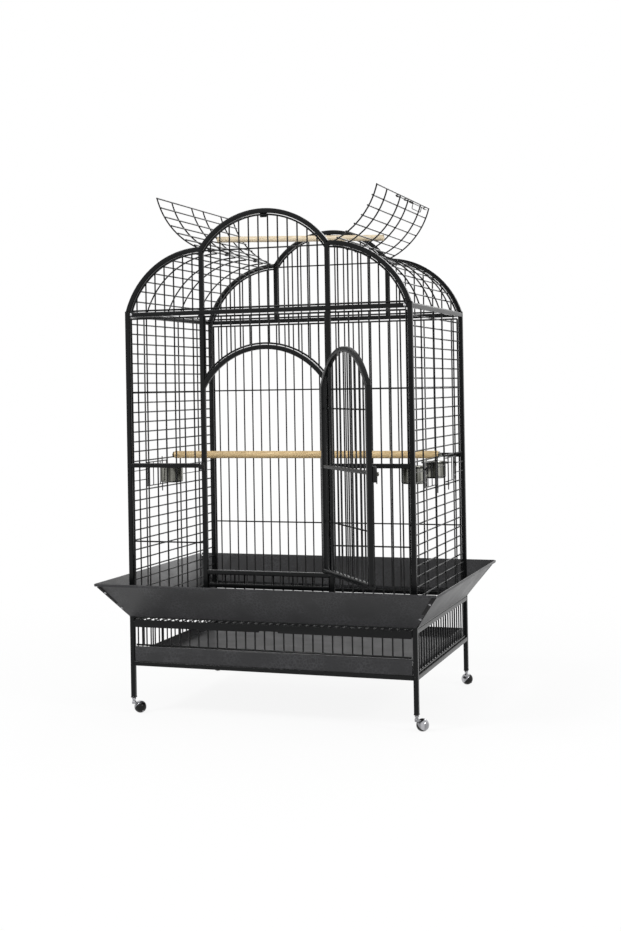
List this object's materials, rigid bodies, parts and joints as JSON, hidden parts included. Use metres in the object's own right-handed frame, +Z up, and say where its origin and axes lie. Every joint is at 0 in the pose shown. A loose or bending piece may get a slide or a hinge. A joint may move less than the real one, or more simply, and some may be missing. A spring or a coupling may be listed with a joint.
{
  "type": "bird cage",
  "caption": "Large dome-top wire bird cage on a caster stand, with an arched front door, hinged roof flaps, seed guards, swing-out feeders, wooden perches, floor grate and slide-out tray",
  "frame": {"origin": "on the floor, under the middle of the outline with the front door open", "axes": "+Z up, +X to the right of someone facing the front door, +Y from the front door to the back"},
  "size_m": [1.2156, 1.2328, 1.805],
  "materials": {
    "powder_coat": "near-black semi-gloss powder coat",
    "sheet_paint": "charcoal powder coat with faint silver veins on sheet steel",
    "corner_paint": "plain black paint",
    "wood": "turned hardwood, clear oiled",
    "stainless": "satin stainless and zinc-plated steel",
    "chrome": "bright chrome plate",
    "black_plastic": "moulded black nylon"
  },
  "bodies": {
    "cage": {"door_hinge_lower": "corner_paint", "door_hinge_upper": "corner_paint", "door_keeper": "corner_paint", "flap_catch_front": "powder_coat", "flap_catch_rear": "powder_coat", "front_arch": "powder_coat", "front_bay_left": "powder_coat", "front_bay_right": "powder_coat", "front_header": "powder_coat", "front_sill": "powder_coat", "guard_corner_fl": "corner_paint", "guard_corner_fr": "corner_paint", "guard_corner_rl": "corner_paint", "guard_corner_rr": "corner_paint", "inner_perch": "wood", "perch_bolt_left": "stainless", "perch_bolt_right": "stainless", "rear_arch": "powder_coat", "rear_panel": "powder_coat", "roof_panel_left": "powder_coat", "roof_panel_right": "powder_coat", "seed_guard_front": "sheet_paint", "seed_guard_left": "sheet_paint", "seed_guard_rear": "sheet_paint", "seed_guard_right": "sheet_paint", "side_panel_left": "powder_coat", "side_panel_right": "powder_coat", "stand_frame_left": "powder_coat", "stand_frame_right": "powder_coat", "stand_front_apron": "powder_coat", "stand_front_rail": "powder_coat", "stand_rear_grille": "powder_coat"},
    "door": {"door": "powder_coat", "door_lock": "corner_paint"},
    "door_lock_turn": {"door_lock_turn": "stainless"},
    "flap_left": {"flap_left": "powder_coat"},
    "flap_right": {"flap_right": "powder_coat"},
    "flap_bolt": {"flap_bolt": "corner_paint"},
    "play_perch": {"play_perch": "wood"},
    "floor_grate": {"floor_grate": "powder_coat"},
    "slide_tray": {"slide_tray": "sheet_paint"},
    "feeder_door_right_front": {"feeder_door_right_front": "powder_coat"},
    "feeder_cup_right_front": {"feeder_cup_right_front": "stainless"},
    "feeder_pull_right_front": {"feeder_pull_right_front": "corner_paint"},
    "feeder_door_right_rear": {"feeder_door_right_rear": "powder_coat"},
    "feeder_cup_right_rear": {"feeder_cup_right_rear": "stainless"},
    "feeder_pull_right_rear": {"feeder_pull_right_rear": "corner_paint"},
    "feeder_door_left_front": {"feeder_door_left_front": "powder_coat"},
    "feeder_cup_left_front": {"feeder_cup_left_front": "stainless"},
    "feeder_pull_left_front": {"feeder_pull_left_front": "corner_paint"},
    "caster_hood_fl": {"caster_hood_fl": "chrome"},
    "caster_wheel_fl": {"caster_wheel_fl": "black_plastic"},
    "caster_hood_fr": {"caster_hood_fr": "chrome"},
    "caster_wheel_fr": {"caster_wheel_fr": "black_plastic"},
    "caster_hood_rl": {"caster_hood_rl": "chrome"},
    "caster_wheel_rl": {"caster_wheel_rl": "black_plastic"},
    "caster_hood_rr": {"caster_hood_rr": "chrome"},
    "caster_wheel_rr": {"caster_wheel_rr": "black_plastic"}
  },
  "joints": [
    {"name": "door_hinge", "type": "hinge", "parent": "cage", "child": "door", "pos_m": [0.2175, -0.25787, 0.86468], "axis": [0, 0, 1], "range_deg": [-127, 40]},
    {"name": "door_lock_turn", "type": "hinge", "parent": "door", "child": "door_lock_turn", "pos_m": [0.48164, -0.59162, 0.86468], "axis": [0.7986, 0.6018, 0], "range_deg": [0, 90]},
    {"name": "flap_left_hinge", "type": "hinge", "parent": "cage", "child": "flap_left", "pos_m": [-0.227, 0.13563, 1.61268], "axis": [0, 1, 0], "range_deg": [0, 104]},
    {"name": "flap_right_hinge", "type": "hinge", "parent": "cage", "child": "flap_right", "pos_m": [0.227, 0.13563, 1.61268], "axis": [0, -1, 0], "range_deg": [0, 104]},
    {"name": "play_perch_lift", "type": "slide", "parent": "cage", "child": "play_perch", "axis": [0, 0, 1], "range_m": [0, 1.363]},
    {"name": "flap_bolt_slide", "type": "slide", "parent": "flap_right", "child": "flap_bolt", "axis": [0, 1, 0], "range_m": [0, 0.028]},
    {"name": "floor_grate_slide", "type": "slide", "parent": "cage", "child": "floor_grate", "axis": [0, -1, 0], "range_m": [0, 0.7]},
    {"name": "slide_tray_slide", "type": "slide", "parent": "cage", "child": "slide_tray", "axis": [0, -1, 0], "range_m": [0, 0.68]},
    {"name": "feeder_door_right_front", "type": "hinge", "parent": "cage", "child": "feeder_door_right_front", "pos_m": [0.52, 0.05263, 0.82968], "axis": [0, 0, 1], "range_deg": [0, 100]},
    {"name": "feeder_cup_right_front", "type": "slide", "parent": "feeder_door_right_front", "child": "feeder_cup_right_front", "axis": [0, 0, 1], "range_m": [0, 0.08]},
    {"name": "feeder_pull_right_front", "type": "hinge", "parent": "feeder_door_right_front", "child": "feeder_pull_right_front", "pos_m": [0.5155, -0.08737, 0.84968], "axis": [0, -1, 0], "range_deg": [0, 80]},
    {"name": "feeder_door_right_rear", "type": "hinge", "parent": "cage", "child": "feeder_door_right_rear", "pos_m": [0.52, 0.21863, 0.82968], "axis": [0, 0, -1], "range_deg": [0, 100]},
    {"name": "feeder_cup_right_rear", "type": "slide", "parent": "feeder_door_right_rear", "child": "feeder_cup_right_rear", "axis": [0, 0, 1], "range_m": [0, 0.08]},
    {"name": "feeder_pull_right_rear", "type": "hinge", "parent": "feeder_door_right_rear", "child": "feeder_pull_right_rear", "pos_m": [0.5155, 0.35863, 0.84968], "axis": [0, -1, 0], "range_deg": [0, 80]},
    {"name": "feeder_door_left_front", "type": "hinge", "parent": "cage", "child": "feeder_door_left_front", "pos_m": [-0.52, 0.05263, 0.82968], "axis": [0, 0, -1], "range_deg": [0, 100]},
    {"name": "feeder_cup_left_front", "type": "slide", "parent": "feeder_door_left_front", "child": "feeder_cup_left_front", "axis": [0, 0, 1], "range_m": [0, 0.08]},
    {"name": "feeder_pull_left_front", "type": "hinge", "parent": "feeder_door_left_front", "child": "feeder_pull_left_front", "pos_m": [-0.5155, -0.08737, 0.84968], "axis": [0, 1, 0], "range_deg": [0, 80]},
    {"name": "caster_swivel_fl", "type": "hinge", "parent": "cage", "child": "caster_hood_fl", "pos_m": [-0.508, -0.24537, 0.04968], "axis": [0, 0, 1], "continuous": true},
    {"name": "caster_roll_fl", "type": "hinge", "parent": "caster_hood_fl", "child": "caster_wheel_fl", "pos_m": [-0.4948, -0.22251, 0.02068], "axis": [-0.6634, 0.383, 0.6428], "continuous": true},
    {"name": "caster_swivel_fr", "type": "hinge", "parent": "cage", "child": "caster_hood_fr", "pos_m": [0.508, -0.24537, 0.04968], "axis": [0, 0, 1], "continuous": true},
    {"name": "caster_roll_fr", "type": "hinge", "parent": "caster_hood_fr", "child": "caster_wheel_fr", "pos_m": [0.5212, -0.22251, 0.02068], "axis": [0.6634, -0.383, 0.6428], "continuous": true},
    {"name": "caster_swivel_rl", "type": "hinge", "parent": "cage", "child": "caster_hood_rl", "pos_m": [-0.508, 0.51663, 0.04968], "axis": [0, 0, 1], "continuous": true},
    {"name": "caster_roll_rl", "type": "hinge", "parent": "caster_hood_rl", "child": "caster_wheel_rl", "pos_m": [-0.51076, 0.54288, 0.02068], "axis": [-0.7618, -0.0801, 0.6428], "continuous": true},
    {"name": "caster_swivel_rr", "type": "hinge", "parent": "cage", "child": "caster_hood_rr", "pos_m": [0.508, 0.51663, 0.04968], "axis": [0, 0, 1], "continuous": true},
    {"name": "caster_roll_rr", "type": "hinge", "parent": "caster_hood_rr", "child": "caster_wheel_rr", "pos_m": [0.50524, 0.54288, 0.02068], "axis": [-0.7618, -0.0801, 0.6428], "continuous": true}
  ],
  "couplings": [
    {"joint": "flap_right_hinge", "follows": "flap_left_hinge", "ratio": 1},
    {"joint": "play_perch_lift", "follows": "flap_left_hinge", "m_per_rad": 0.75}
  ]
}
